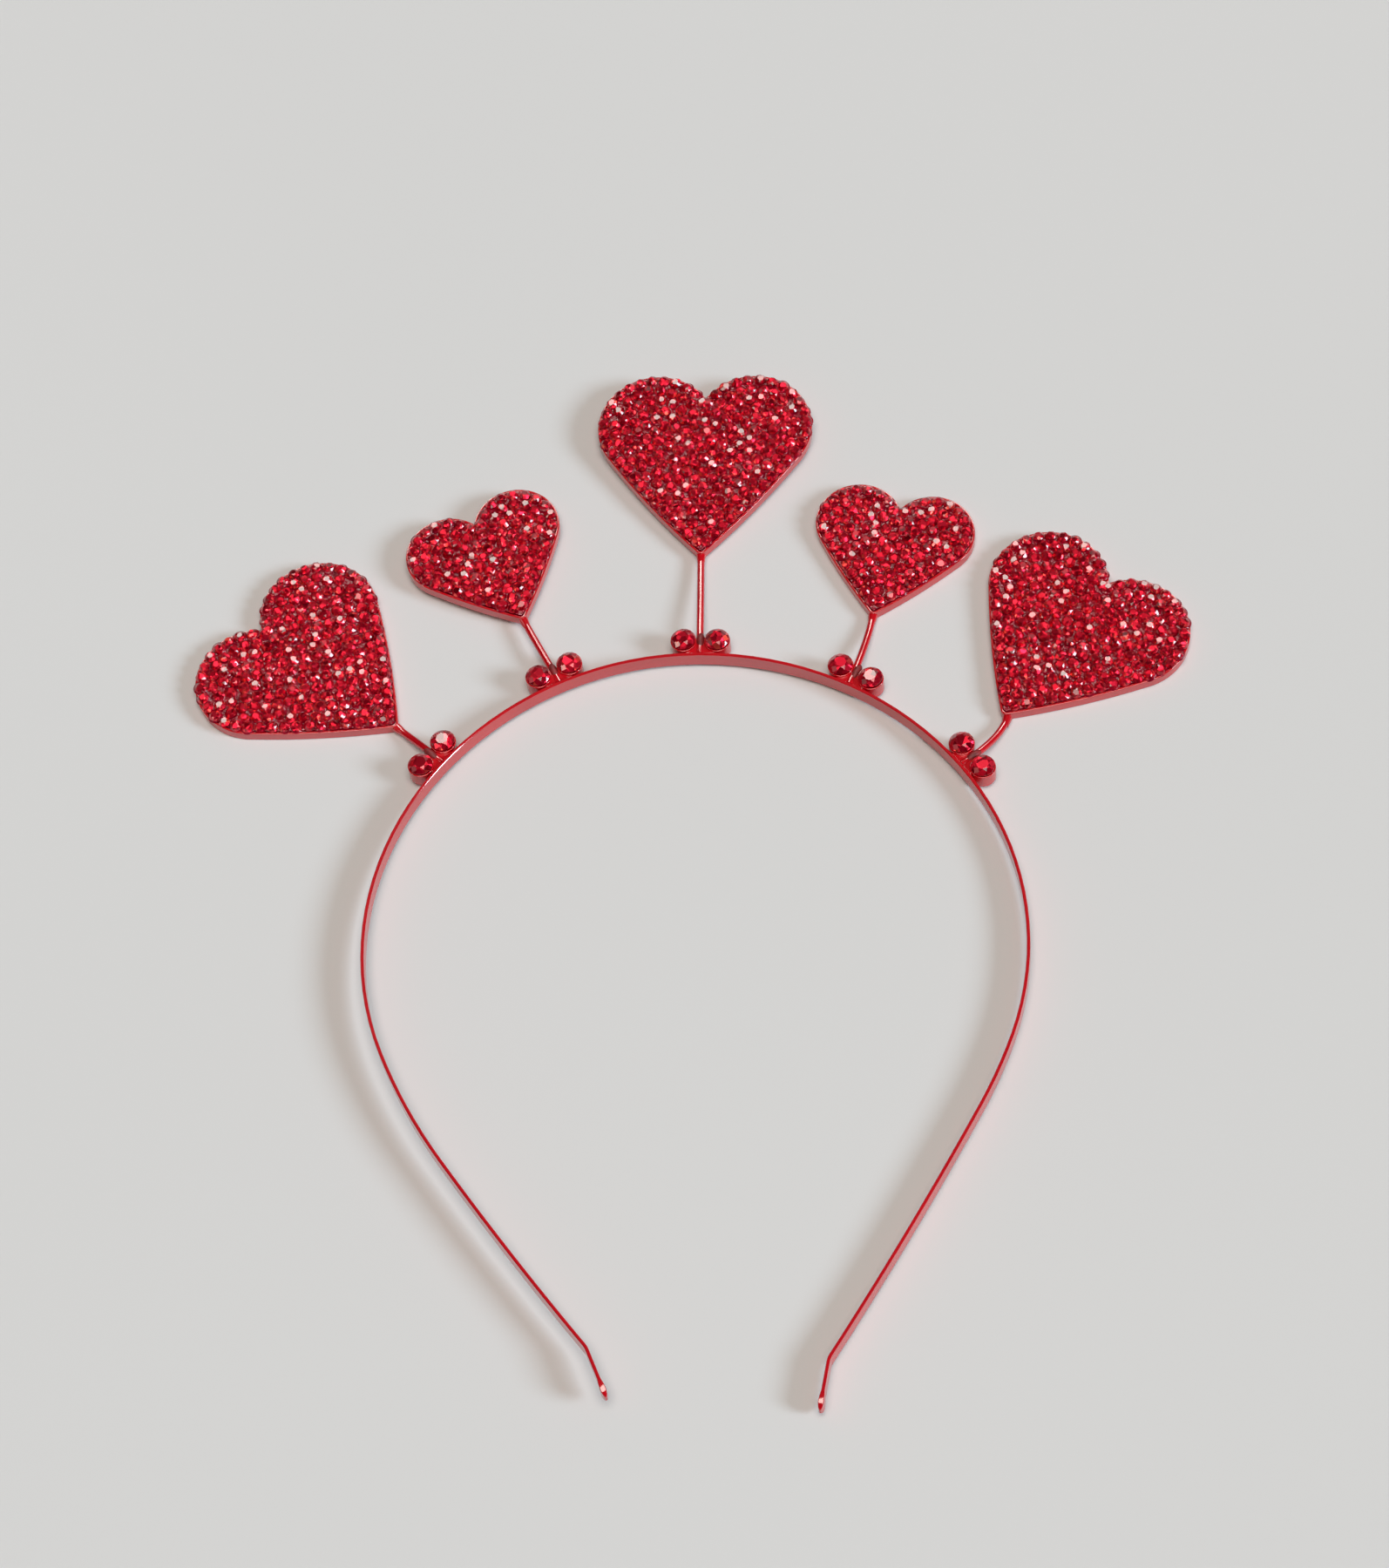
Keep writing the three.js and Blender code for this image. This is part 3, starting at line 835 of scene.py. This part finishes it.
def addStones(bm, heart, matrix, rng):
    # the stones are picked from a few slightly different cuts
    cuts = [meshOf(cutStone(smallStone, rng, smallStone["uneven"]), "smallStone")
            for _ in range(smallStone["kinds"])]
    collar = makeCollar()
    paintedGlints = bm.faces.layers.float.new("paintedFacetGlint")
    inner, border = stoneSpots(heart, rng)
    middle = Vector((0, arcCentres(heart)["lobe"][0].y, 0))
    for k, (x, y) in enumerate([*inner, *border]):
        first, firstFace = len(bm.verts), len(bm.faces)
        bm.from_mesh(rng.choice(cuts))
        if rng.random() < glueBed["collarShare"]:
            bm.from_mesh(collar)
        lean = anyLean(rng, smallStone["wobble"])
        if k >= len(inner):
            outwards = (Vector((x, y, 0)) - middle).normalized()
            axis = zAxis.cross(outwards)
            lean = Matrix.Rotation(math.radians(smallStone["edgeLean"]), 4, axis) @ lean
        spin = Matrix.Rotation(rng.uniform(0, math.tau), 4, "Z")
        height = tray["height"] + smallStone["lift"] + rng.gauss(0, smallStone["stagger"])
        placeFrom(bm, first, matrix @ Matrix.Translation((x, y, height)) @ lean @ spin)
        bm.faces.ensure_lookup_table()
        # every facet gets a painted glint tone at random
        for face in bm.faces[firstFace:]:
            face[paintedGlints] = rng.random()
            # tables, facing straight up, get painted shade
            if face.normal.z > smallStone["tableUp"]:
                face[paintedGlints] *= smallStone["paintedTableShade"]
    for mesh in [*cuts, collar]:
        bpy.data.meshes.remove(mesh)
    return len(inner) + len(border)


def makeStones(name, row, matrix, seed):
    rng = random.Random(seed)
    bm = bmesh.new()
    count = addStones(bm, hearts[row["heart"]], matrix, rng)
    addGlueBed(bm, hearts[row["heart"]], matrix)
    finishPiece(bm, "stones_" + name, [ruby, glue], ["pave_" + name])
    print(count, "stones set in", name)


# Cup stones: one larger brilliant to a cup. They all lean a little about one side's axis.
cupStone = {
    "diameter": 4.78, "table": 2.5, "star": 3.7, "crown": 0.82, "girdle": 0.12, "pavilion": 1.7,
    "wobble": 1.2, "spin": -40, "turned": 4, "windowSide": -130, "leanBack": 4, "seed": 100,
}


def makeCupStone(name, k, rng):
    bm = cutStone(cupStone, rng)
    low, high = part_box(f"cup_stone_{name}_{k}")
    paintedGlints = bm.faces.layers.float.new("paintedFacetGlint")
    # every facet gets a painted glint tone at random
    for face in bm.faces:
        face[paintedGlints] = rng.random()
    seat = (low + high) / 2 / mm
    seat.z = high.z / mm - cupStone["crown"]
    spin = math.radians(cupStone["spin"] + rng.gauss(0, cupStone["turned"]))
    side = math.radians(cupStone["windowSide"])
    tilt = math.radians(cupStone["leanBack"] + rng.gauss(0, cupStone["wobble"]))
    lean = Matrix.Rotation(tilt, 4, Vector((math.cos(side), math.sin(side), 0)))
    matrix = Matrix.Translation(seat) @ lean @ Matrix.Rotation(spin, 4, "Z")
    bmesh.ops.transform(bm, matrix=matrix, verts=bm.verts)
    piece = f"cup_stone_{name}_{k}"
    finishPiece(bm, "ruby_" + piece, [cupRuby], [piece])


for seed, (name, row) in enumerate(ornaments.items()):
    heartMatrix = makeMetal(name, row)
    makeStones(name, row, heartMatrix, seed)
    rng = random.Random(cupStone["seed"] + seed)
    for k in (1, 2):
        makeCupStone(name, k, rng)
print("ornaments made")
